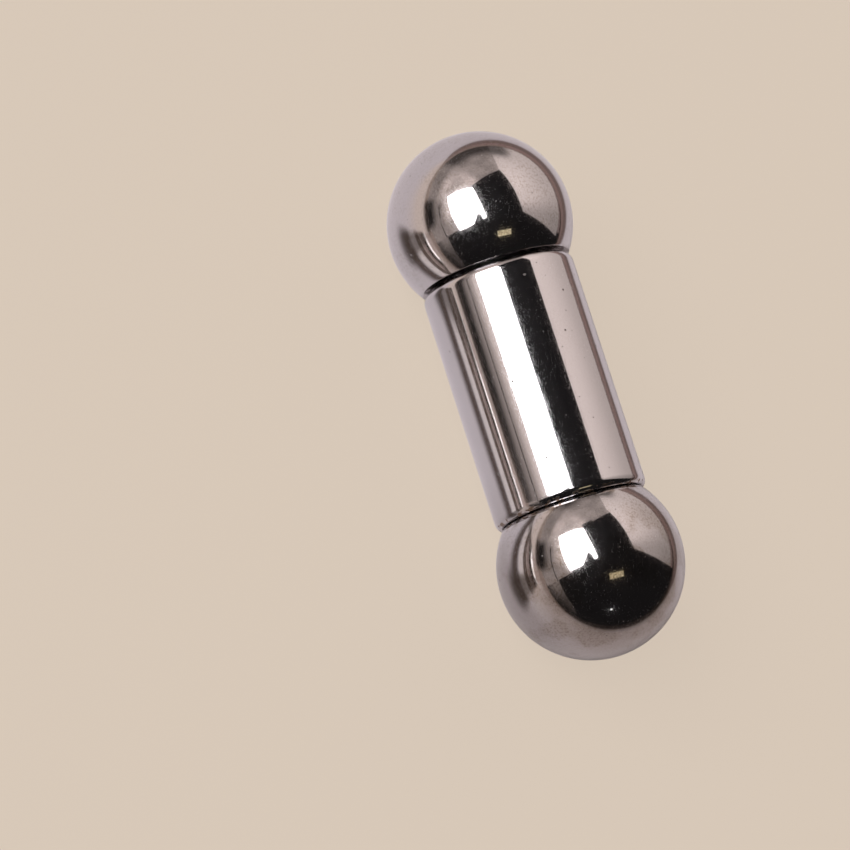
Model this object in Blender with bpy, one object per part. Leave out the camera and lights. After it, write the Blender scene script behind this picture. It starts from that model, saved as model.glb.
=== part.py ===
"""Straight barbell in polished steel, lying on its two balls.

The bar's axis runs along X, at the height of the balls' centres. The origin is on the floor halfway
between the balls, +Z is up, and everything is in metres.

Each end is a ball with a flat seat. A threaded stud joins it to the blind tapped hole in the bar's end.
The ball unscrews: the stud's empty slides out along X while the ball's empty turns about X.
"""

import math
from collections import namedtuple

import bmesh
import bpy
from mathutils import Vector

# Driving dimensions
BAR_DIAMETER = 0.0100
BAR_LENGTH = 0.0158
BALL_DIAMETER = 0.0120

# Each end's side along X, how far its flat seat is from its ball's centre, and the gap from seat to bar
End = namedtuple("End", "name side seat seam")
ENDS = (
    End("left", -1, seat=0.00340, seam=0.00025),
    End("right", 1, seat=0.00370, seam=0.00015),
)

STUD_DIAMETER = 0.0055  # at the middle of the flanks of a 6 mm thread
HOLE_DIAMETER = 0.0062  # clear of that thread's crests, in the bar and in the balls
HOLE_DEPTH = 0.0056  # in each end of the bar, to the full diameter; a web stays between the two points
SOCKET_DEPTH = 0.0046  # in each ball, from the seat
STUD_IN_BAR = 0.0052  # how far the stud reaches in past the bar's end face
STUD_IN_BALL = 0.0042  # how far the stud reaches in past the ball's seat
DRILL_POINT_ANGLE = math.radians(118)

EDGE_ROUND = 0.00035  # on the bar's end edges
SEAT_EDGE_ROUND = 0.00008  # where a ball's sphere turns into its seat
COUNTERSINK = 0.0003  # at the mouth of each hole
STUD_CHAMFER = 0.0004

# How finely the round shapes are cut
BALL_SIDES = 20  # a side faces straight down, wide enough for the ball to rest on without rolling
BALL_RING_ANGLE = math.radians(9)  # from one ring of the ball's profile to the next, with one on its equator
BAR_SIDES = 48
STUD_SIDES = 24
ROUND_STEPS = 3
SMOOTH_BELOW = math.radians(30)

STEEL_COLOUR = (0.66, 0.64, 0.66, 1.0)
STUD_COLOUR = (0.52, 0.51, 0.52, 1.0)

BALL_RADIUS = BALL_DIAMETER / 2
AXIS_HEIGHT = BALL_RADIUS
BAR_MIDDLE = -sum(end.side * (end.seat + end.seam) for end in ENDS) / 2


def clear_scene():
    for thing in list(bpy.data.objects):
        bpy.data.objects.remove(thing, do_unlink=True)


def metal(name, colour, roughness):
    material = bpy.data.materials.new(name)
    material.use_nodes = True
    shader = material.node_tree.nodes["Principled BSDF"]
    shader.inputs["Base Color"].default_value = colour
    shader.inputs["Metallic"].default_value = 1.0
    shader.inputs["Roughness"].default_value = roughness
    return material


def rounded_edge(end_x, side):
    """Quarter circle of (x, r) points from the end face at end_x, facing side along X, to the bar's side."""
    points = []
    for step in range(ROUND_STEPS + 1):
        angle = math.radians(90) * step / ROUND_STEPS
        x = end_x - side * EDGE_ROUND * (1 - math.cos(angle))
        r = BAR_DIAMETER / 2 - EDGE_ROUND * (1 - math.sin(angle))
        points.append((x, r))
    return points


def drilled_hole(mouth_x, depth, diameter, inward):
    """Profile of a blind hole, from the point of the drill on the axis to the countersunk mouth."""
    radius = diameter / 2
    bottom_x = mouth_x + inward * depth
    point_x = bottom_x + inward * radius / math.tan(DRILL_POINT_ANGLE / 2)
    return [
        (point_x, 0.0),
        (bottom_x, radius),
        (mouth_x + inward * COUNTERSINK, radius),
        (mouth_x, radius + COUNTERSINK),
    ]


def turned(name, profile, sides, material, parent):
    """A solid turned about X. The profile is (x, r) points from one point on the axis to another.

    Its flat sides touch the true circle, and one of them faces straight down.
    """
    half_side = math.pi / sides
    mesh = bpy.data.meshes.new(name)
    shape = bmesh.new()
    across = Vector((0, -math.sin(half_side), math.cos(half_side))) / math.cos(half_side)
    rail = [shape.verts.new(Vector((x, 0, 0)) + r * across) for x, r in profile]
    edges = [shape.edges.new(pair) for pair in zip(rail, rail[1:])]
    bmesh.ops.spin(
        shape,
        geom=rail + edges,
        axis=(1, 0, 0),
        cent=(0, 0, 0),
        angle=2 * math.pi,
        steps=sides,
        use_duplicate=False,
    )
    bmesh.ops.remove_doubles(shape, verts=shape.verts, dist=1e-7)
    bmesh.ops.recalc_face_normals(shape, faces=shape.faces)
    shape.to_mesh(mesh)
    shape.free()
    mesh.shade_smooth()
    mesh.set_sharp_from_angle(angle=SMOOTH_BELOW)
    mesh.materials.append(material)
    piece = bpy.data.objects.new(name, mesh)
    bpy.context.collection.objects.link(piece)
    piece.parent = parent
    return piece


def empty(name, location, parent=None):
    holder = bpy.data.objects.new(name, None)
    holder.empty_display_size = BAR_DIAMETER
    holder.location = location
    holder.parent = parent
    bpy.context.collection.objects.link(holder)
    return holder


def bar_profile():
    """From the web between the two holes, out of the left hole, along the outside and into the right one."""
    half = BAR_LENGTH / 2
    left_hole = drilled_hole(-half, HOLE_DEPTH, HOLE_DIAMETER, 1)
    right_hole = drilled_hole(half, HOLE_DEPTH, HOLE_DIAMETER, -1)
    return left_hole + rounded_edge(-half, -1) + rounded_edge(half, 1)[::-1] + right_hole[::-1]


def ball_profile(seat):
    """A ball whose centre is the origin and whose seat faces -X: from its pole at +X to the socket's bottom.

    The sides of the profile touch the true circle, the first at the pole and one of them at the equator.
    """
    corner_radius = BALL_RADIUS / math.cos(BALL_RING_ANGLE / 2)
    seat_radius = math.sqrt(BALL_RADIUS**2 - seat**2)
    seat_angle = math.acos(-seat / BALL_RADIUS)
    points = [(BALL_RADIUS, 0.0)]
    angle = BALL_RING_ANGLE / 2
    while angle < seat_angle - BALL_RING_ANGLE / 2:
        points.append((corner_radius * math.cos(angle), corner_radius * math.sin(angle)))
        angle += BALL_RING_ANGLE
    points.append((-seat + SEAT_EDGE_ROUND, seat_radius + SEAT_EDGE_ROUND / 2))
    points.append((-seat, seat_radius - SEAT_EDGE_ROUND))
    socket = drilled_hole(-seat, SOCKET_DEPTH, HOLE_DIAMETER, 1)
    return points + socket[::-1]


def stud_profile(seam):
    """A plain post along X with chamfered ends. The origin is the ball's seat, and +X goes into the ball."""
    radius = STUD_DIAMETER / 2
    inner = -(seam + STUD_IN_BAR)
    outer = STUD_IN_BALL
    return [
        (outer, 0.0),
        (outer, radius - STUD_CHAMFER),
        (outer - STUD_CHAMFER, radius),
        (inner + STUD_CHAMFER, radius),
        (inner, radius - STUD_CHAMFER),
        (inner, 0.0),
    ]


def facing(profile, side):
    """The profile as it is for the right end, whose side is 1, or turned round for the left one."""
    return profile if side > 0 else [(-x, r) for x, r in profile]


def make_end(end, steel, stud_steel, bar_axis):
    """One ball and its stud, on an empty that slides out along X and one on it that turns about X."""
    slide = empty(f"{end.name}_thread_slide", (end.side * (BAR_LENGTH / 2 + end.seam), 0, 0), bar_axis)
    turn = empty(f"{end.name}_ball_turn", (end.side * end.seat, 0, 0), slide)
    stud = facing(stud_profile(end.seam), end.side)
    ball = facing(ball_profile(end.seat), end.side)
    turned(f"{end.name}_stud", stud, STUD_SIDES, stud_steel, slide)
    turned(f"{end.name}_ball", ball, BALL_SIDES, steel, turn)


def main():
    clear_scene()
    steel = metal("polished_steel", STEEL_COLOUR, 0.06)
    stud_steel = metal("turned_steel", STUD_COLOUR, 0.3)
    bar_axis = empty("bar_axis", (BAR_MIDDLE, 0, AXIS_HEIGHT))
    turned("bar", bar_profile(), BAR_SIDES, steel, bar_axis)
    for end in ENDS:
        make_end(end, steel, stud_steel, bar_axis)
    bpy.context.view_layer.update()


main()
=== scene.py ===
"""A heavy straight barbell of polished steel on a pale floor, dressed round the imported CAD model.

The bar's axis lies along X and the barbell rests on its two balls. Everything is in metres.
"""

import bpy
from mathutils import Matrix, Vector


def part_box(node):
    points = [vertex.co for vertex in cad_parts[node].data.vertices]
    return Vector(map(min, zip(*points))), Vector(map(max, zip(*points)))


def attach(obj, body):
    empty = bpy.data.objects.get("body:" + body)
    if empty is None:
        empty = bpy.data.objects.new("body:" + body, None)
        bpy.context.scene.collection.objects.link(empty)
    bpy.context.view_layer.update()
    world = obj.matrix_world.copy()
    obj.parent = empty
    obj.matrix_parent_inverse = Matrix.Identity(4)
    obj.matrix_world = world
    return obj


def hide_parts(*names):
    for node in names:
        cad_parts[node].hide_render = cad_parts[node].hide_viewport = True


bl_info = {
    "name": "Straight Barbell",
    "version": (1, 0, 0),
    "blender": (4, 5, 0),
    "location": "3D View > Sidebar > Barbell",
    "description": "Makes a polished steel barbell with threaded studs, and a small studio round it",
    "category": "Object",
}

from math import cos, radians, sin, tan

import bpy
import numpy as np
from bpy.props import FloatProperty, FloatVectorProperty, PointerProperty
from mathutils import Quaternion, Vector

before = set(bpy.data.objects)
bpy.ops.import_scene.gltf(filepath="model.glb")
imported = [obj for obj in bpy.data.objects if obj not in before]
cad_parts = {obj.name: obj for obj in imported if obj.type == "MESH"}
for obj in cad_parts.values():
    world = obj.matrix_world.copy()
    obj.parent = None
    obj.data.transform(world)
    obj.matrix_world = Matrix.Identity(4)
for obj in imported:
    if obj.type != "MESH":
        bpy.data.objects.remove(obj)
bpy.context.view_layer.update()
BAR_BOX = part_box("bar")
BALL_BOXES = {"left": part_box("left_ball"), "right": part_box("right_ball")}
STUD_BOXES = {"left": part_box("left_stud"), "right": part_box("right_stud")}

MM = 0.001
MICROMETRE = 0.001 * MM
SIDES = {"left": -1, "right": 1}
SEAT_NEARER = {"left": 0.0, "right": 0.06 * MM}  # the right seam is finer than the model's

# How finely the turned surfaces are cut
TURN_STEPS = 144  # round each of them
PITCH_STEPS = 24  # along each turn of a thread
BALL_POINTS = 100  # from the seat to the pole
END_ROUND_POINTS = 11
SEAT_ROUND_POINTS = 6
SHARP_ABOVE = radians(28)  # the turn between two faces from which the edge between them stays sharp

# The threads. A share is one of their pitch
FLANK_ANGLE = radians(30)
CREST_FLAT_SHARE = 1 / 8
DEPTH_SHARE = 0.613
STUD_CHAMFER = 0.05 * MM  # at a stud's ends, from the root of its thread inwards

# The tapped hole in each end of the bar. The clearances are round the stud's thread
HALF_DRILL_POINT = radians(59)
TAPPED_DEPTH = 5.6 * MM  # to the start of the drill's point
THREAD_END = 5.4 * MM  # where the thread has run out into the drilled hole
THREAD_RUN_OUT = 0.4 * MM  # the stretch over which it runs out
CREST_CLEARANCE = 0.05 * MM
FLANK_CLEARANCE = 0.04 * MM
DRILLED_INSIDE = 0.5 * MM  # from the stud's crests in to the drilled hole
COUNTERSINK = 0.30 * MM

# The plain hole in each ball
SOCKET_DEPTH = 4.6 * MM
SOCKET_CLEARANCE = 0.08 * MM
SOCKET_COUNTERSINK = 0.25 * MM


# Sizes, colours and finishes that a user would change


def length(name, description, default):
    return FloatProperty(
        name=name,
        description=description,
        default=default,
        min=0.0,
        precision=5,
        subtype="DISTANCE",
        unit="LENGTH",
    )


def colour(name, description, default):
    return FloatVectorProperty(
        name=name,
        description=description,
        default=default,
        size=3,
        min=0.0,
        max=1.0,
        subtype="COLOR",
    )


def amount(name, description, default, most=1.0):
    return FloatProperty(
        name=name, description=description, default=default, min=0.0, max=most, precision=3
    )


def thickness(box):
    """How wide the box of a CAD node is across the bar's axis."""
    low, high = box
    return high.y - low.y


class BarbellSizes(bpy.types.PropertyGroup):
    bar_diameter: length("Bar", "Diameter of the bar", thickness(BAR_BOX))
    ball_diameter: length("Balls", "Diameter of each ball", thickness(BALL_BOXES["left"]))
    end_round: length("End round", "How far the rounded end edges of the bar fall in", 0.35 * MM)
    end_blend: length("End blend", "How far along the bar the rounded end edges reach", 0.55 * MM)
    seat_round: length("Seat round", "Radius where a ball turns into its flat seat", 0.08 * MM)
    thread_diameter: length("Thread", "Diameter over the crests of the studs' thread", 6.0 * MM)
    thread_pitch: length("Pitch", "How far the thread climbs in one turn", 1.0 * MM)


class BarbellFinish(bpy.types.PropertyGroup):
    steel: colour("Steel", "Colour of the polished steel", (0.66, 0.64, 0.66))
    thread_steel: colour("Thread steel", "Colour of the machined threads", (0.52, 0.51, 0.52))
    polish: amount("Polish", "Roughness of the polished steel", 0.035)
    scratches: amount("Scratches", "Depth of the handling scratches, in micrometres", 0.35, 5.0)
    pits: amount("Pits", "Depth of the small pits, in micrometres", 12.0, 50.0)


class StudioLook(bpy.types.PropertyGroup):
    floor: colour("Floor", "Colour of the floor", (0.686, 0.584, 0.485))
    paper: colour("Paper", "Colour of the paper that shows in the steel", (0.83, 0.773, 0.808))
    window: amount("Window", "Brightness of the large window", 5.0, 50.0)
    wall: amount("Wall", "Brightness of the pale wall", 1.0, 10.0)


# Surfaces, each written as whole arrays of points and faces


def put_in_mesh(name, points, quads, triangles, material):
    """A new object at the origin from arrays of points, quads and triangles, shaded smooth."""
    mesh = bpy.data.meshes.new(name)
    mesh.from_pydata(points.tolist(), [], quads.tolist() + triangles.tolist())
    mesh.shade_smooth()
    mesh.set_sharp_from_angle(angle=SHARP_ABOVE)
    mesh.materials.append(material)
    mesh.validate()
    thing = bpy.data.objects.new(name, mesh)
    bpy.context.collection.objects.link(thing)
    return thing


def turned(name, x, r, height, material):
    """A closed surface turned about the line along X at that height.

    Point (i, j) is (x[i], r[i, j] cos t[j], height + r[i, j] sin t[j]), with t[j] going once round. The
    first and the last row lie on the axis and become one point each. Faces point outwards where x grows on
    the outside.
    """
    rows, steps = len(x), TURN_STEPS
    t = np.arange(steps) * 2 * np.pi / steps
    r = np.broadcast_to(np.asarray(r).reshape(rows, -1), (rows, steps))[1:-1]
    rings = np.stack([np.broadcast_to(x[1:-1, None], r.shape), r * np.cos(t), height + r * np.sin(t)], -1)
    poles = np.array([[x[0], 0, height], [x[-1], 0, height]])
    points = np.concatenate([rings.reshape(-1, 3), poles])
    here = np.arange((rows - 2) * steps).reshape(rows - 2, steps)
    beside = np.roll(here, -1, axis=1)
    quads = np.stack([here[:-1], beside[:-1], beside[1:], here[1:]], -1).reshape(-1, 4)
    first, last = np.full(steps, len(points) - 2), np.full(steps, len(points) - 1)
    triangles = np.concatenate(
        [np.stack([first, beside[0], here[0]], -1), np.stack([here[-1], beside[-1], last], -1)]
    )
    return put_in_mesh(name, points, quads, triangles, material)


def held(corners, gap=0.02 * MM):
    """The (x, r) corners, with a point near each end of every long stretch to keep its shading straight.

    Those points are one gap from the corners, and a stretch is long if it measures more than six gaps.
    """
    corners = np.asarray(corners, float)
    start, end = corners[:-1], corners[1:]
    span = np.linalg.norm(end - start, axis=1, keepdims=True)
    near = np.minimum(gap / np.maximum(span, 1e-12), 1 / 3)
    line = np.stack([start, start + (end - start) * near, end - (end - start) * near], 1)
    long = np.broadcast_to((span > 6 * gap)[:, :, None], line.shape)[:, :, 0].copy()
    long[:, 0] = True
    return np.concatenate([line[long], corners[-1:]])


def arc(centre, radius, start, end, steps):
    """Points (x, r) on a circle round centre, between two angles in degrees from +X towards +r."""
    a = np.radians(np.linspace(start, end, steps))
    return np.stack([centre[0] + radius * np.cos(a), centre[1] + radius * np.sin(a)], -1)


def thread(x, pitch, crest, root, flank_gap=0.0):
    """Radius of a right-hand thread over the grid of x and turn angle t.

    d is the distance along X from the middle of the nearest crest, which climbs by one pitch a turn. The
    radius is the crest's over its flat, an eighth of the pitch, then falls along a flank at 30 degrees to
    the root. A flank gap moves each flank away from the crest's middle.
    """
    t = np.arange(TURN_STEPS) / TURN_STEPS
    d = np.abs((x[:, None] / pitch - t + 0.5) % 1.0 - 0.5) * pitch
    past_crest = d - pitch * CREST_FLAT_SHARE / 2 - flank_gap
    return np.clip(crest - past_crest / tan(FLANK_ANGLE), root, crest)


# Materials

# Sets of hairline scratches: turn and stretch of their noise, its scale, the lines' width, how rare they are
HAIRLINES = (
    ((0.3, 0.9, 0.2), (0.30, 2.4, 2.4), 1.3, 0.011, 0.57),
    ((1.4, 0.2, 1.1), (0.36, 2.2, 2.2), 1.5, 0.011, 0.58),
    ((0.8, 1.9, 2.3), (0.25, 2.6, 2.6), 1.1, 0.010, 0.58),
    ((2.2, 0.6, 0.5), (1.00, 1.9, 1.9), 2.4, 0.012, 0.58),
)
# Sets of pits: cells to a millimetre, the pits' size in a cell, how rare they are
PITS = (
    (0.8, 0.08, 0.66),
    (2.1, 0.09, 0.74),
)
PATCH_FINENESS = 2.3  # of the patches that hold the scratches, against the scratches' own noise
PATCH_SOFTNESS = 0.06
PIT_FLOOR = 0.4  # of a pit's size
PIT_SOFTNESS = 0.02
WAVE_DEPTH = 0.8 * MICROMETRE  # of the slight unevenness that polishing leaves
TOOL_RING_DEPTH = 3.0 * MICROMETRE

# Where wear sets in along X, from none to full, in millimetres from the middle of the barbell
ON_BALLS = (8.05, 8.25)
ON_RIGHT_BALL = (8.60, 10.50)
AT_SEAMS = ((7.70, 7.95), (8.45, 8.15))
AT_RIGHT_END = ((7.52, 7.60), (8.10, 7.98))

# How much each kind of wear adds to the roughness
HAZE_ROUGHNESS = 0.17
SCRATCH_ROUGHNESS = 0.10
PIT_ROUGHNESS = 0.30
GRIME_ROUGHNESS = 0.30
HAZE_FILM = 0.06  # how much the haze adds to the tarnish

# The share of the steel's red, green and blue that is left under each kind of wear
CLEAN = (1, 1, 1)
TARNISHED = (0.62, 0.57, 0.51)
GRIMY = (0.48, 0.38, 0.30)
PITTED = (0.22, 0.20, 0.18)
GRIMY_THREAD = (0.5, 0.48, 0.44)


class Bench:
    """Adds nodes to one node tree, each with its plain values set and its inputs joined."""

    def __init__(self, tree):
        self.tree = tree

    def add(self, kind, inputs=None, out=0, **settings):
        node = self.tree.nodes.new(kind)
        for key, value in settings.items():
            setattr(node, key, value)
        for key, value in (inputs or {}).items():
            if isinstance(value, bpy.types.NodeSocket):
                self.tree.links.new(value, node.inputs[key])
            else:
                node.inputs[key].default_value = value
        return node.outputs[out] if node.outputs else node

    def place(self):
        """Where a point of the object is, in metres."""
        return self.add("ShaderNodeTexCoord", out=3)

    def place_in_mm(self):
        return self.add("ShaderNodeVectorMath", {0: self.place(), 3: 1 / MM}, operation="SCALE")

    def split(self, vector):
        """The x, y and z of the vector."""
        node = self.tree.nodes.new("ShaderNodeSeparateXYZ")
        self.tree.links.new(vector, node.inputs[0])
        return node.outputs[:]

    def math(self, operation, a, b=0.0, c=0.0):
        return self.add("ShaderNodeMath", {0: a, 1: b, 2: c}, operation=operation)

    def product(self, a, b):
        return self.math("MULTIPLY", a, b)

    def larger(self, a, b):
        return self.math("MAXIMUM", a, b)

    def ramp(self, value, low, high, to_low=0.0, to_high=1.0):
        """value from low to high made to_low to to_high, smoothly and no further."""
        inputs = {
            "Value": value,
            "From Min": low,
            "From Max": high,
            "To Min": to_low,
            "To Max": to_high,
        }
        return self.add("ShaderNodeMapRange", inputs, interpolation_type="SMOOTHSTEP")

    def between(self, value, rise, fall):
        """1 where the value is past rise and short of fall, two pairs that each run from 0 to 1."""
        return self.product(self.ramp(value, *rise), self.ramp(value, *fall))

    def noise(self, place, scale, detail, roughness=0.5):
        inputs = {"Vector": place, "Scale": scale, "Detail": detail, "Roughness": roughness}
        return self.add("ShaderNodeTexNoise", inputs)

    def bump(self, height, depth, under=None, invert=False):
        """The normal of a surface raised by depth where height is 1, or sunk by it, over another normal."""
        inputs = {"Strength": 1.0, "Distance": depth, "Height": height}
        if under is not None:
            inputs["Normal"] = under
        return self.add("ShaderNodeBump", inputs, invert=invert)

    def blend(self, mask, under, over):
        """The colour under where the mask is 0, and the colour over where it is 1."""
        return self.add("ShaderNodeMix", {0: mask, 6: under, 7: over}, out=2, data_type="RGBA")


def new_material(name):
    material = bpy.data.materials.new(name)
    material.use_nodes = True
    return material, Bench(material.node_tree), material.node_tree.nodes["Principled BSDF"]


def make_metal(bench, shader, tint, rough, normal):
    """Makes the shader bare metal with that colour, roughness and normal."""
    shader.inputs["Metallic"].default_value = 1.0
    bench.tree.links.new(tint, shader.inputs["Base Color"])
    bench.tree.links.new(rough, shader.inputs["Roughness"])
    bench.tree.links.new(normal, shader.inputs["Normal"])


def make_matt(shader):
    shader.inputs["Roughness"].default_value = 1.0
    shader.inputs["Specular IOR Level"].default_value = 0.0


def hairlines(bench, place, turn, stretch, scale, width, patches):
    """Curved hairlines: where a noise stretched along one direction passes its middle value, in patches."""
    mapping = {"Vector": place, "Rotation": turn, "Scale": stretch}
    lie = bench.add("ShaderNodeMapping", mapping)
    noise = bench.noise(lie, scale, 1.0)
    middle = bench.math("ABSOLUTE", bench.math("SUBTRACT", noise, 0.5))
    line = bench.ramp(middle, width, 0.0)
    patch = bench.noise(lie, scale * PATCH_FINENESS, 0.0)
    return bench.product(line, bench.ramp(patch, patches, patches + PATCH_SOFTNESS))


def pits(bench, place, scale, size, rarity):
    """Round pits, one in each cell whose draw is above rarity, with as many cells to a mm as the scale."""
    cells = {"Vector": place, "Scale": scale, "Randomness": 1.0}
    near = bench.add("ShaderNodeTexVoronoi", cells)
    draws = bench.add("ShaderNodeTexVoronoi", cells, out=1)
    chosen = bench.add("ShaderNodeSeparateColor", {"Color": draws})
    pit = bench.ramp(near, size, size * PIT_FLOOR)
    return bench.product(pit, bench.ramp(chosen, rarity, rarity + PIT_SOFTNESS))


def shades(colour, parts):
    """The colour times its parts, with the fourth value that a socket needs."""
    return (*(c * p for c, p in zip(colour, parts)), 1.0)


def tarnish(bench, place):
    """How tarnished the steel is: the balls in mottled patches, the right one more, and the seams grimy."""
    x = bench.split(place)[0]
    from_middle = bench.math("ABSOLUTE", x)
    balls = bench.ramp(from_middle, *ON_BALLS)
    right = bench.ramp(x, *ON_RIGHT_BALL)
    fine = bench.ramp(bench.noise(place, 7.0, 3.0), 0.46, 0.66)
    patch = bench.ramp(bench.noise(place, 0.42, 3.0), 0.42, 0.62)
    film = bench.math("MULTIPLY_ADD", fine, bench.ramp(patch, 0.0, 1.0, 0.16, 0.45), 0.10)
    film = bench.product(film, bench.ramp(balls, 0.0, 1.0, 0.12, 1.0))
    film = bench.math("MULTIPLY_ADD", right, bench.ramp(patch, 0.0, 1.0, 0.10, 0.45), film)
    seam = bench.between(from_middle, *AT_SEAMS)
    dirt = bench.product(seam, bench.ramp(bench.noise(place, 1.6, 3.0), 0.47, 0.62))
    return bench.larger(film, dirt)


def polished_steel(finish):
    """Mirror-polished steel: hairline scratches, a fine haze of wear, tarnish and a few small pits."""
    material, bench, shader = new_material("worn_polished_steel")
    place = bench.place_in_mm()

    worn = None
    for kind in HAIRLINES:
        lines = hairlines(bench, place, *kind)
        worn = lines if worn is None else bench.larger(worn, lines)

    waves = bench.noise(place, 0.45, 1.0)
    grain = bench.ramp(bench.noise(place, 11.0, 2.0, 0.6), 0.58, 0.68)
    grain = bench.larger(grain, bench.ramp(bench.noise(place, 24.0, 1.0), 0.585, 0.62))
    haze = bench.product(grain, bench.ramp(bench.noise(place, 0.40, 2.0), 0.35, 0.60, 0.80, 1.0))
    pit = bench.larger(*(pits(bench, place, *kind) for kind in PITS))

    rough = bench.math("MULTIPLY_ADD", haze, HAZE_ROUGHNESS, finish.polish)
    rough = bench.math("MULTIPLY_ADD", worn, SCRATCH_ROUGHNESS, rough)
    rough = bench.math("MULTIPLY_ADD", pit, PIT_ROUGHNESS, rough)
    smooth = bench.bump(waves, WAVE_DEPTH)
    cut = bench.bump(worn, finish.scratches * MICROMETRE, smooth, invert=True)
    sunk = bench.bump(pit, finish.pits * MICROMETRE, cut, invert=True)

    film = bench.math("MULTIPLY_ADD", haze, HAZE_FILM, tarnish(bench, place))
    tint = bench.blend(film, shades(finish.steel, CLEAN), shades(finish.steel, TARNISHED))
    grime = bench.between(bench.split(place)[0], *AT_RIGHT_END)
    grime = bench.product(grime, bench.ramp(bench.noise(place, 2.2, 3.0), 0.54, 0.60))
    tint = bench.blend(grime, tint, shades(finish.steel, GRIMY))
    rough = bench.math("MULTIPLY_ADD", grime, GRIME_ROUGHNESS, rough)
    tint = bench.blend(pit, tint, shades(finish.steel, PITTED))
    make_metal(bench, shader, tint, rough, sunk)
    return material


def turned_steel(finish):
    """Machined steel of the threads: fine rings from the tool round the axis, and grime in patches."""
    material, bench, shader = new_material("worn_turned_steel")
    place = bench.place_in_mm()
    along = bench.add("ShaderNodeMapping", {"Vector": place, "Scale": (14.0, 0.25, 0.25)})
    rings = bench.noise(along, 1.0, 3.0)
    grime = bench.ramp(bench.noise(place, 1.2, 4.0), 0.5, 0.75)
    clean, grimy = shades(finish.thread_steel, CLEAN), shades(finish.thread_steel, GRIMY_THREAD)
    tint = bench.blend(grime, clean, grimy)
    rough = bench.ramp(rings, 0.2, 0.8, 0.22, 0.38)
    make_metal(bench, shader, tint, rough, bench.bump(rings, TOOL_RING_DEPTH))
    return material


def steel(name):
    """The named steel, made once and then shared by the pieces."""
    finish = bpy.context.scene.barbell_finish
    make = {"worn_polished_steel": polished_steel, "worn_turned_steel": turned_steel}[name]
    return bpy.data.materials.get(name) or make(finish)


# The pieces


def dress(piece, body, node):
    """The piece rides on the body and stands for the CAD node, which is hidden."""
    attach(piece, body)
    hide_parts(node)


class BARBELL_OT_make_bar(bpy.types.Operator):
    """Makes the bar, with rounded end edges and a blind tapped hole in each end"""

    bl_idname = "barbell.make_bar"
    bl_label = "Bar"

    def execute(self, context):
        sizes = context.scene.barbell_sizes
        low, high = BAR_BOX
        height = (low.z + high.z) / 2
        radius = sizes.bar_diameter / 2
        half = (high.x - low.x) / 2
        middle = (high.x + low.x) / 2
        hole_x, right_hole, left_hole = self.tapped_hole(sizes, half, middle)
        turn = arc((0, 0), 1, 0, 90, END_ROUND_POINTS) - 1
        turn = turn * (sizes.end_blend, sizes.end_round) + (half, radius)
        edge = np.concatenate([[(half, right_hole[0, 0])], turn])
        outside = held(np.concatenate([edge * (-1, 1), edge[::-1]]))[1:-1]
        x = np.concatenate([-hole_x[::-1], outside[:, 0], hole_x]) + middle
        r = np.concatenate([left_hole[::-1], np.repeat(outside[:, 1:], TURN_STEPS, 1), right_hole])
        bar = turned("bar_polished", x, r, height, steel("worn_polished_steel"))
        dress(bar, "bar", "bar")
        return {"FINISHED"}

    def tapped_hole(self, sizes, half, middle):
        """Places x from the mouth of the hole to the drill's point, and the two holes' radii there.

        The radius is the larger of the countersink's cone and the thread, until the thread runs out into
        the drill's own radius, and then the drill's point closes the hole.
        """
        pitch = sizes.thread_pitch
        crest = sizes.thread_diameter / 2 + CREST_CLEARANCE
        drill = sizes.thread_diameter / 2 - DRILLED_INSIDE
        depth = np.arange(0, THREAD_END + pitch / 2, pitch / PITCH_STEPS)
        x = half - depth
        cone = (crest + COUNTERSINK - depth)[:, None]
        fade = np.clip((THREAD_END - depth) / THREAD_RUN_OUT, 0, 1)[:, None]
        bottom = np.repeat([[drill], [0.0]], TURN_STEPS, 1)
        holes = []
        for side in (1, -1):
            r = thread(side * x + middle, pitch, crest, drill, FLANK_CLEARANCE)
            holes.append(np.concatenate([np.maximum(drill + (r - drill) * fade, cone), bottom]))
        point = TAPPED_DEPTH + drill / tan(HALF_DRILL_POINT)
        return np.concatenate([x, [half - TAPPED_DEPTH, half - point]]), *holes


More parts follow.
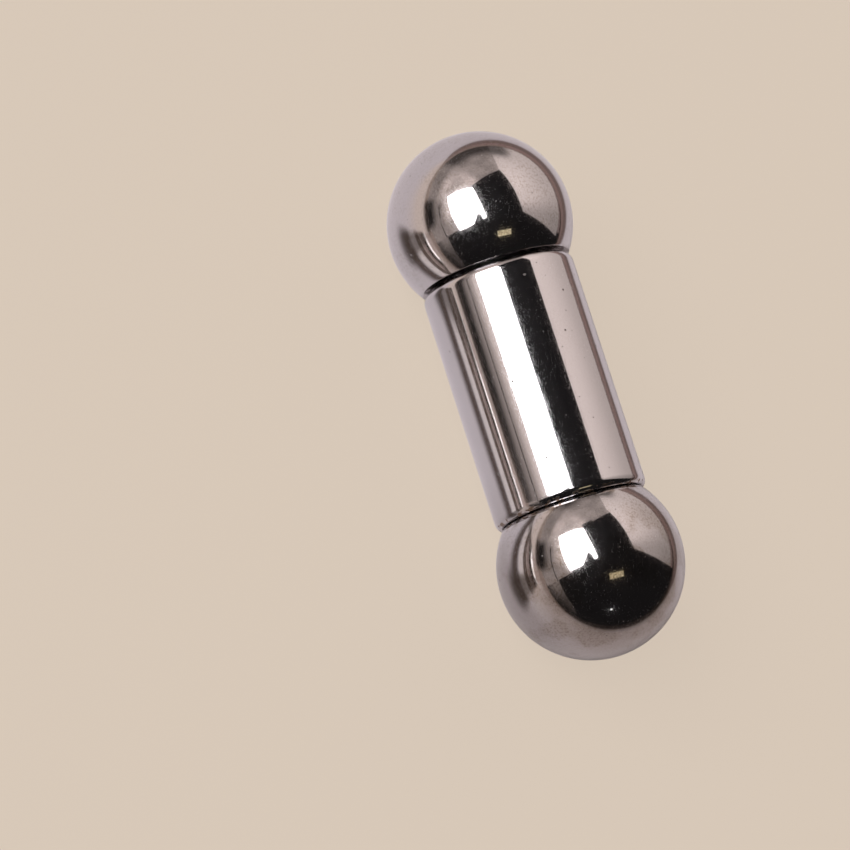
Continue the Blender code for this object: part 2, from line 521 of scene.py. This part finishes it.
class BARBELL_OT_make_balls(bpy.types.Operator):
    """Makes the two balls, each with a flat seat that faces the bar and a hole for its stud"""

    bl_idname = "barbell.make_balls"
    bl_label = "Balls"

    def execute(self, context):
        sizes = context.scene.barbell_sizes
        radius = sizes.ball_diameter / 2
        hole = sizes.thread_diameter / 2 + SOCKET_CLEARANCE
        for name, side in SIDES.items():
            low, high = BALL_BOXES[name]
            centre = high.x - radius if side > 0 else low.x + radius
            seat = abs((low.x if side > 0 else high.x) - centre) + SEAT_NEARER[name]
            profile = self.profile(radius, seat, sizes.seat_round, hole)
            if side < 0:
                profile = (profile * (-1, 1))[::-1]
            x, r = profile[:, 0] + centre, profile[:, 1]
            height = (low.z + high.z) / 2
            ball = turned(f"{name}_ball_polished", x, r, height, steel("worn_polished_steel"))
            dress(ball, f"{name}_ball", f"{name}_ball")
        return {"FINISHED"}

    def profile(self, radius, seat, edge, hole):
        """(x, r) from the bottom of the stud's hole, over the seat and round the ball to its pole.

        The ball's centre is the origin and the seat is at x = -seat. An arc of radius edge touches both the
        seat and the ball. Its centre is edge past the seat and as far inside the ball.
        """
        rim = np.sqrt((radius - edge) ** 2 - (seat - edge) ** 2)
        turn = np.degrees(np.arctan2(rim, -(seat - edge)))
        corner = arc((-(seat - edge), rim), edge, 180, turn, SEAT_ROUND_POINTS)
        bottom = -seat + SOCKET_DEPTH
        inner = [
            (bottom + hole / tan(HALF_DRILL_POINT), 0),
            (bottom, hole),
            (-seat + SOCKET_COUNTERSINK, hole),
            (-seat, hole + SOCKET_COUNTERSINK),
        ]
        inner = held(inner)
        flat = held([inner[-1], corner[0]])
        ball = arc((0, 0), radius, turn, 0, BALL_POINTS)
        ball[-1, 1] = 0.0
        return np.concatenate([inner, flat[1:-1], corner, ball[1:]])


class BARBELL_OT_make_studs(bpy.types.Operator):
    """Makes the two threaded studs, each fixed in its ball and screwed into the bar"""

    bl_idname = "barbell.make_studs"
    bl_label = "Studs"

    def execute(self, context):
        sizes = context.scene.barbell_sizes
        pitch = sizes.thread_pitch
        crest = sizes.thread_diameter / 2
        root = crest - DEPTH_SHARE * pitch
        for name in SIDES:
            low, high = STUD_BOXES[name]
            height = (low.z + high.z) / 2
            count = int(round((high.x - low.x) / pitch * PITCH_STEPS))
            x = np.linspace(low.x, high.x, count)
            from_end = np.minimum(x - low.x, high.x - x)[:, None]
            r = np.minimum(thread(x, pitch, crest, root), root - STUD_CHAMFER + from_end)
            x = np.concatenate([x[:1], x, x[-1:]])
            r = np.concatenate([r[:1] * 0, r, r[-1:] * 0])
            stud = turned(f"{name}_stud_threaded", x, r, height, steel("worn_turned_steel"))
            dress(stud, f"{name}_ball", f"{name}_stud")
        return {"FINISHED"}


# The studio

MIDDLE = (0.0, 0.0, 6.0 * MM)  # of the barbell

# The camera, as measured from the photo. The angles are in degrees and the lens is in millimetres
PHOTO_AZIMUTH = 21.297
PHOTO_ELEVATION = 59.947
PHOTO_ROLL = 53.626
PHOTO_TARGET = (0.00048, -0.00828, 0.0060)
PHOTO_DISTANCE = 0.27903
PHOTO_LENS = 187.56
SENSOR_WIDTH = 36.0
CLIP_START, CLIP_END = 0.01, 10.0

# How far each card is from the barbell's middle. Of two cards that overlap, the one that shows is nearer
SCREEN_DISTANCE = 0.165
CAMERA_CARD_DISTANCE = 0.18
WALL_DISTANCE = 0.19
WINDOW_DISTANCE = 0.25
LAMP_DISTANCE = 0.45
SKIRTING_DISTANCE = 0.45
WINDOW_LIGHT_DISTANCE = 1.08
CARD_DISTANCE = 1.2
FAR_WALL_DISTANCE = 1.32
CARD_STEPS = 24  # faces along each edge of a card

# The floor glows in its colour. The room's light adds little, so the barbell's shadow on it is as faint as
# in the photo
FLOOR_GLOW = 0.91
FLOOR_LIT = 0.11
SHEET_HALF = 3.0  # of the floor and the paper, from the middle to an edge
PAPER_BACK = 0.45  # how far the paper reaches on the +Y side
PAPER_HEIGHT = 0.01 * MM
BESIDE_RIGHT_BALL = (0.013, -0.008, 0.0)  # where the ball dims the paper

# Colours of the light from the room
DARK_ROOM = (0.011, 0.010, 0.010, 1.0)
WINDOW_WHITE = (1.0, 0.99, 0.98, 1.0)
DARK_CARD = (1.0, 0.9, 0.9, 1.0)
WALL_BEIGE = (1.0, 0.855, 0.788, 1.0)
SKIRTING_BROWN = (0.210, 0.150, 0.137, 1.0)
ROOM_BROWN = (1.0, 0.84, 0.765, 1.0)
BRASS = (1.0, 0.84, 0.52, 1.0)
SPARK_WHITE = (1.0, 1.0, 1.0, 1.0)
GLEAM = (1.0, 0.95, 0.93, 1.0)

# Strengths of the lights that a user wouldn't change, and how far the corners of two cards are drawn in
DARK_CARD_STRENGTH = 0.011
SPARK_STRENGTH = 5.0
GLEAM_STRENGTH = 1.30
WINDOW_BULGE = 0.12
WALL_BULGE = 0.13

# Tones of the paper, from its brightest part to its darkest. The lit, shaded and tip tones are painted light
# and shade
WINDOW_LIT_PAPER = (0.90, 0.785, 0.715)
SHADED_RIGHT_PAPER = (0.52, 0.45, 0.42)
BACK_PAPER = (0.39, 0.275, 0.25)
FAR_PAPER = (0.36, 0.28, 0.24)
SHADED_PAPER = (0.30, 0.24, 0.21)
BAND_PAPER = (0.24, 0.175, 0.16)
TIP_SHADE = (0.10, 0.08, 0.07)
EDGE_PAPER = (0.04, 0.032, 0.028)

# Painted shadow and reflected light, in strips beside the barbell and as long as it
# Strips on the paper, across Y: near edge, far edge, how soft each of the two edges is, and tone
SHADOW_AND_REFLECTION_STRIPS = (
    (-0.0094, -0.0164, 0.0033, 0.0022, (0.145, 0.112, 0.102)),
    (-0.0158, -0.0205, 0.0010, 0.0006, (1.00, 0.93, 0.92)),
    (-0.0203, -0.0275, 0.0010, 0.0025, (0.15, 0.108, 0.09)),
    (-0.0262, -0.0340, 0.0020, 0.0010, (0.40, 0.305, 0.284)),
    (-0.0320, -0.0410, 0.0008, 0.0008, (0.04, 0.03, 0.025)),
    (-0.0412, -0.0500, 0.0008, 0.0030, (1.0, 0.97, 0.95)),
    (-0.0480, -0.0900, 0.0030, 0.0200, (0.62, 0.50, 0.46)),
)


def way(bench):
    """The x, y and z of the direction in which a place lies from the middle of the barbell."""
    away = {0: bench.place(), 1: MIDDLE}
    away = bench.add("ShaderNodeVectorMath", away, operation="SUBTRACT")
    return bench.split(bench.add("ShaderNodeVectorMath", {0: away}, operation="NORMALIZE"))


def direction(azimuth, polar):
    """The unit vector at that azimuth, from +X towards +Y, and that angle from straight up, in degrees."""
    a, p = np.radians(azimuth), np.radians(polar)
    return np.array([np.sin(p) * np.cos(a), np.sin(p) * np.sin(a), np.cos(p)])


def around(bench, x, y):
    """How far round from -X towards -Y a place lies, in degrees."""
    turn = bench.math("ARCTAN2", bench.product(y, -1.0), bench.product(x, -1.0))
    return bench.math("DEGREES", turn)


def within(bench, value, start, end, soft_start, soft_end):
    """1 from start to end and 0 outside them, with each edge as soft as it says."""
    rise = bench.ramp(value, start, start + soft_start)
    return bench.product(rise, bench.ramp(value, end - soft_end, end, 1.0, 0.0))


def glowing(name, light):
    """A material that only gives off light. light is (colour, strength), or light(bench) returns them."""
    material, bench, shader = new_material(name)
    tint, strength = light(bench) if callable(light) else light
    glow = bench.add("ShaderNodeEmission", {"Color": tint, "Strength": strength})
    output = next(n for n in bench.tree.nodes if n.type == "OUTPUT_MATERIAL")
    bench.tree.nodes.remove(shader)
    bench.tree.links.new(glow, output.inputs["Surface"])
    return material


def card(name, corners, material, distance=CARD_DISTANCE, bulge=0.0, lights=True, shows=True):
    """A card round the barbell between four directions from its middle, at that distance from it.

    Each corner is (azimuth, angle from straight up). Point (u, v), each from -1 to 1, lies along the
    direction that blends the four corners evenly in u sqrt(1 - bulge v v) and v sqrt(1 - bulge u u), which
    draws the corners in and leaves the middles of the edges. With lights it lights the floor and the paper,
    and with shows it is reflected in the steel.
    """
    steps = CARD_STEPS
    along = np.linspace(-1, 1, steps + 1)
    u, v = np.meshgrid(along, along, indexing="ij")
    u, v = u * np.sqrt(1 - bulge * v**2), v * np.sqrt(1 - bulge * u**2)
    u, v = (u[..., None] + 1) / 2, (v[..., None] + 1) / 2
    a, b, c, d = (direction(*corner) for corner in corners)
    ways = a * (1 - u) * (1 - v) + b * u * (1 - v) + c * u * v + d * (1 - u) * v
    ways = ways / np.linalg.norm(ways, axis=-1, keepdims=True)
    points = (ways * distance).reshape(-1, 3) + MIDDLE
    here = np.arange((steps + 1) ** 2).reshape(steps + 1, steps + 1)
    quads = np.stack([here[:-1, :-1], here[1:, :-1], here[1:, 1:], here[:-1, 1:]], -1).reshape(-1, 4)
    thing = put_in_mesh(name, points, quads, np.empty((0, 3), int), material)
    thing.visible_camera = False
    thing.visible_shadow = False
    thing.visible_diffuse = lights
    thing.visible_glossy = shows


def ground(name, half, height, material, back=None):
    """A flat square sheet, as far each way as half, or only as far as back on the +Y side."""
    back = half if back is None else back
    corners = ((-half, -half), (half, -half), (half, back), (-half, back))
    points = np.array([(x, y, height) for x, y in corners])
    thing = put_in_mesh(name, points, np.array([[0, 1, 2, 3]]), np.empty((0, 3), int), material)
    return thing


class BARBELL_OT_make_studio(bpy.types.Operator):
    """Makes the pale floor, the window and cards that show in the steel, and the camera"""

    bl_idname = "barbell.make_studio"
    bl_label = "Studio"

    def execute(self, context):
        look = context.scene.studio_look
        self.room(context.scene, look)
        self.floor(look)
        self.paper(look)
        self.cards(look)
        self.camera(context.scene)
        context.scene.view_settings.view_transform = "Standard"
        return {"FINISHED"}

    def room(self, scene, look):
        """A dark room, seen as pale as the floor where the camera looks past it."""
        world = bpy.data.worlds.new("room")
        world.use_nodes = True
        scene.world = world
        world.node_tree.nodes.clear()
        bench = Bench(world.node_tree)
        dark = bench.add("ShaderNodeBackground", {"Color": DARK_ROOM})
        pale = bench.add("ShaderNodeBackground", {"Color": (*look.floor, 1.0)})
        seen = bench.add("ShaderNodeLightPath", out=0)
        both = bench.add("ShaderNodeMixShader", {0: seen, 1: dark, 2: pale})
        bench.add("ShaderNodeOutputWorld", {"Surface": both})

    def floor(self, look):
        """The pale floor, which the camera sees and the steel doesn't."""
        material, _, shader = new_material("floor")
        make_matt(shader)
        shader.inputs["Base Color"].default_value = shades(look.floor, (FLOOR_LIT,) * 3)
        shader.inputs["Emission Color"].default_value = (*look.floor, 1.0)
        shader.inputs["Emission Strength"].default_value = FLOOR_GLOW
        floor = ground("floor", SHEET_HALF, 0.0, material)
        floor.visible_glossy = False

    def paper(self, look):
        """The paper that shows in the steel: warm painted light on the window's side, dim towards its edges.

        On the window's side lie pale, grey and brown strips of painted shadow and reflected light, beside
        the barbell and as long.
        """
        material, bench, shader = new_material("paper")
        make_matt(shader)
        x, y, _ = bench.split(bench.place())
        from_middle = bench.math("ABSOLUTE", x)

        from_ball = {0: bench.place(), 1: BESIDE_RIGHT_BALL}
        from_ball = bench.add("ShaderNodeVectorMath", from_ball, out=1, operation="DISTANCE")
        # Painted light and shade: warmer and brighter on the window's side, darker to the right and beside
        # the right ball
        layers = [
            (bench.ramp(y, -0.030, -0.010, 1.0, 0.0), WINDOW_LIT_PAPER),
            (bench.ramp(x, 0.006, 0.030, 0.0, 0.85), SHADED_RIGHT_PAPER),
            (bench.ramp(x, 0.020, 0.055, 0.0, 0.35), SHADED_PAPER),
            (bench.ramp(from_ball, 0.004, 0.011, 0.35, 0.0), SHADED_PAPER),
        ]

        # Painted strips of shadow and reflected light, as long as the barbell
        as_long = within(bench, x, -0.0165, 0.0165, 0.0030, 0.0030)
        for near, far, near_soft, far_soft, tone in SHADOW_AND_REFLECTION_STRIPS:
            across = within(bench, y, far, near, far_soft, near_soft)
            layers.append((bench.product(as_long, across), tone))
        # Painted shade darkens the strips towards their tips
        tip_shade = bench.product(as_long, bench.ramp(from_middle, 0.0070, 0.0100, 0.0, 0.75))
        tip_shade = bench.product(tip_shade, within(bench, y, -0.046, -0.008, 0.006, 0.003))

        past = bench.math("SUBTRACT", y, bench.product(x, 0.45))
        far_out = bench.ramp(y, -0.120, -0.050, 1.0, 0.0)
        far_out = bench.larger(far_out, bench.ramp(x, -0.300, -0.090, 1.0, 0.0))
        shade = within(bench, around(bench, x, y), 48, 88, 8, 8)
        shade = bench.product(shade, bench.ramp(y, -0.135, -0.055, 1.0, 0.0))
        slant = bench.math("ADD", x, bench.product(y, 0.35))
        edges = bench.larger(shade, bench.ramp(slant, 0.050, 0.120))
        edges = bench.larger(edges, bench.ramp(x, 0.055, 0.140))
        layers += [
            (tip_shade, TIP_SHADE),
            # a soft brown band past a slanted line
            (bench.ramp(past, 0.034, 0.048), BAND_PAPER),
            (bench.ramp(past, 0.066, 0.090), BACK_PAPER),
            (far_out, FAR_PAPER),
            (edges, EDGE_PAPER),
        ]
        sheet = (*look.paper, 1.0)
        for mask, tone in layers:
            sheet = bench.blend(mask, sheet, (*tone, 1.0))
        bench.tree.links.new(sheet, shader.inputs["Base Color"])

        # Painted highlight: the pale strip glows along the length of the barbell
        gleam = bench.product(as_long, within(bench, y, -0.050, -0.0412, 0.003, 0.0008))
        gleam = bench.product(gleam, bench.ramp(from_middle, 0.0090, 0.0110, GLEAM_STRENGTH, 0.0))
        shader.inputs["Emission Color"].default_value = GLEAM
        bench.tree.links.new(gleam, shader.inputs["Emission Strength"])
        paper = ground("paper", SHEET_HALF, PAPER_HEIGHT, material, back=PAPER_BACK)
        paper.visible_camera = False
        paper.visible_diffuse = False
        paper.visible_shadow = False

    def cards(self, look):
        """The window, the walls, a lamp and a spark of light, as they show in the steel."""
        white = glowing("window", (WINDOW_WHITE, look.window))
        light = [(-155.5, 45.5), (-127, 66), (-78, 57), (-72, 20.8)]
        card("window_light", light, white, WINDOW_LIGHT_DISTANCE, shows=False)
        seen = [(-161.5, 37), (-129.5, 67), (-78.0, 57.0), (-75.5, 11)]
        card("window", seen, white, WINDOW_DISTANCE, bulge=WINDOW_BULGE, lights=False)

        dark = glowing("dark_card", (DARK_CARD, DARK_CARD_STRENGTH))
        screen = [(-153.6, 45.2), (-53.4, 21.7), (-20.9, 11.9), (-172.3, 42)]
        card("screen", screen, dark, SCREEN_DISTANCE, lights=False)
        beside_screen = [(-99.4, 28.3), (-95.1, 24.9), (-62, 24.5), (-68, 46)]
        card("camera_card", beside_screen, dark, CAMERA_CARD_DISTANCE, lights=False)

        wall = glowing("wall", lambda bench: self.pale_wall(bench, look.wall))
        light = [(158, 51), (78, 27.5), (70, 88), (150, 94)]
        card("wall_light", light, wall, shows=False)
        seen = [(160, 52.0), (77, 26.6), (70.5, 86.5), (158, 91)]
        card("wall", seen, wall, WALL_DISTANCE, bulge=WALL_BULGE, lights=False)
        skirting = glowing("skirting", (SKIRTING_BROWN, 1.0))
        foot = [(156, 78), (75, 78), (75, 94), (156, 94)]
        card("skirting", foot, skirting, SKIRTING_DISTANCE, lights=False)

        furnished = glowing("far_wall", self.furnished_wall)
        beyond = [(156, 50), (-150, 43), (-150, 96), (146, 96)]
        card("far_wall", beyond, furnished, FAR_WALL_DISTANCE)
        below_window = [(-150, 43), (-79, 55), (-79, 96), (-150, 96)]
        card("near_wall", below_window, furnished, FAR_WALL_DISTANCE)
        low = [(-79, 73.5), (-45, 81), (-36, 88), (-79, 95)]
        card("ledge", low, glowing("ledge", self.ledge), FAR_WALL_DISTANCE)

        above = [(19.3, 25.8), (15.9, 31.7), (-15.9, 32.9), (-21.3, 26.3)]
        card("lamp", above, glowing("lamp", self.lamp), LAMP_DISTANCE)
        point = [(-4.2, 67.5), (-4.2, 69.3), (-6.0, 69.3), (-6.0, 67.5)]
        card("spark", point, glowing("spark", (SPARK_WHITE, SPARK_STRENGTH)))

    def pale_wall(self, bench, strength):
        """Brighter high up, dim at its left end and dark low down at its right end."""
        x, y, z = way(bench)
        turn = around(bench, x, y)
        light = bench.ramp(z, 0.083, 0.958, 0.62 * strength, 0.93 * strength)
        light = bench.product(light, bench.ramp(turn, -70, -45, 1.0, 1.14))
        light = bench.product(light, bench.ramp(turn, -100, -73, 0.58, 1.04))
        corner = bench.product(bench.ramp(turn, -42, -29), bench.ramp(z, 0.44, 0.16))
        return WALL_BEIGE, bench.product(light, bench.ramp(corner, 0.0, 1.0, 1.0, 0.22))

    def furnished_wall(self, bench):
        """Dark furniture low down and a pale wall above, brighter next to the window and beyond it."""
        x, y, z = way(bench)
        turn = around(bench, x, y)
        low, high = bench.ramp(z, 0.174, 0.295, 0.33, 0.70), bench.ramp(z, 0.455, 0.682, 0.0, 0.35)
        below, over = bench.ramp(z, 0.060, 0.235, 0.015, 0.36), bench.ramp(z, 0.255, 0.440, 0.0, 0.50)
        light = bench.ramp(z, 0.121, 0.379, 0.075, 0.42)
        parts = (
            (8, 22, bench.math("ADD", low, high)),
            (48, 60, bench.math("ADD", below, over)),
            (78, 88, bench.ramp(z, 0.288, 0.470, 0.32, 0.46)),
        )
        for start, end, part in parts:
            light = bench.add("ShaderNodeMix", {0: bench.ramp(turn, start, end), 2: light, 3: part})
        cloud = bench.ramp(bench.noise(bench.place(), 3.0, 3.0), 0.3, 0.7, 0.80, 1.18)
        from_sill = bench.math("ABSOLUTE", bench.math("SUBTRACT", z, 0.264))
        sill = bench.ramp(from_sill, 0.005, 0.014)
        sill = bench.ramp(bench.ramp(turn, 60, 64), 0.0, 1.0, 1.0, sill)
        return ROOM_BROWN, bench.product(light, bench.product(cloud, sill))

    def ledge(self, bench):
        """Dimmer towards the right and at its foot."""
        x, _, z = way(bench)
        light = bench.ramp(x, 0.19, 0.57, 0.28, 0.08)
        return ROOM_BROWN, bench.product(light, bench.ramp(z, 0.015, 0.15, 0.4, 1.0))

    def lamp(self, bench):
        """Uneven, as brass is."""
        return BRASS, bench.ramp(bench.noise(bench.place(), 80.0, 2.0), 0.35, 0.65, 0.45, 1.20)

    def camera(self, scene):
        """The camera of the photo, whose azimuth runs from -Y towards +X."""
        camera = bpy.data.objects.new("camera", bpy.data.cameras.new("camera"))
        bpy.context.collection.objects.link(camera)
        a, e = radians(PHOTO_AZIMUTH), radians(PHOTO_ELEVATION)
        back = Vector((sin(a) * cos(e), -cos(a) * cos(e), sin(e)))
        camera.location = Vector(PHOTO_TARGET) + back * PHOTO_DISTANCE
        camera.rotation_mode = "QUATERNION"
        level = (-back).to_track_quat("-Z", "Y")
        camera.rotation_quaternion = level @ Quaternion((0, 0, 1), radians(PHOTO_ROLL))
        camera.data.lens = PHOTO_LENS
        camera.data.sensor_width = SENSOR_WIDTH
        camera.data.clip_start = CLIP_START
        camera.data.clip_end = CLIP_END
        scene.camera = camera


class BARBELL_PT_panel(bpy.types.Panel):
    """Lists the pieces, the sizes and the finishes"""

    bl_idname = "BARBELL_PT_panel"
    bl_label = "Straight Barbell"
    bl_space_type = "VIEW_3D"
    bl_region_type = "UI"
    bl_category = "Barbell"

    def draw(self, context):
        for settings in (
            context.scene.barbell_sizes,
            context.scene.barbell_finish,
            context.scene.studio_look,
        ):
            box = self.layout.box()
            for name in settings.__annotations__:
                box.prop(settings, name)
        for operator in OPERATORS:
            self.layout.operator(operator.bl_idname)


OPERATORS = (BARBELL_OT_make_bar, BARBELL_OT_make_balls, BARBELL_OT_make_studs, BARBELL_OT_make_studio)
CLASSES = (BarbellSizes, BarbellFinish, StudioLook, *OPERATORS, BARBELL_PT_panel)


def register():
    for thing in CLASSES:
        bpy.utils.register_class(thing)
    bpy.types.Scene.barbell_sizes = PointerProperty(type=BarbellSizes)
    bpy.types.Scene.barbell_finish = PointerProperty(type=BarbellFinish)
    bpy.types.Scene.studio_look = PointerProperty(type=StudioLook)


def unregister():
    del bpy.types.Scene.studio_look
    del bpy.types.Scene.barbell_finish
    del bpy.types.Scene.barbell_sizes
    for thing in reversed(CLASSES):
        bpy.utils.unregister_class(thing)


def main():
    register()
    bpy.ops.barbell.make_bar()
    bpy.ops.barbell.make_balls()
    bpy.ops.barbell.make_studs()
    bpy.ops.barbell.make_studio()


if __name__ == "__main__":
    main()
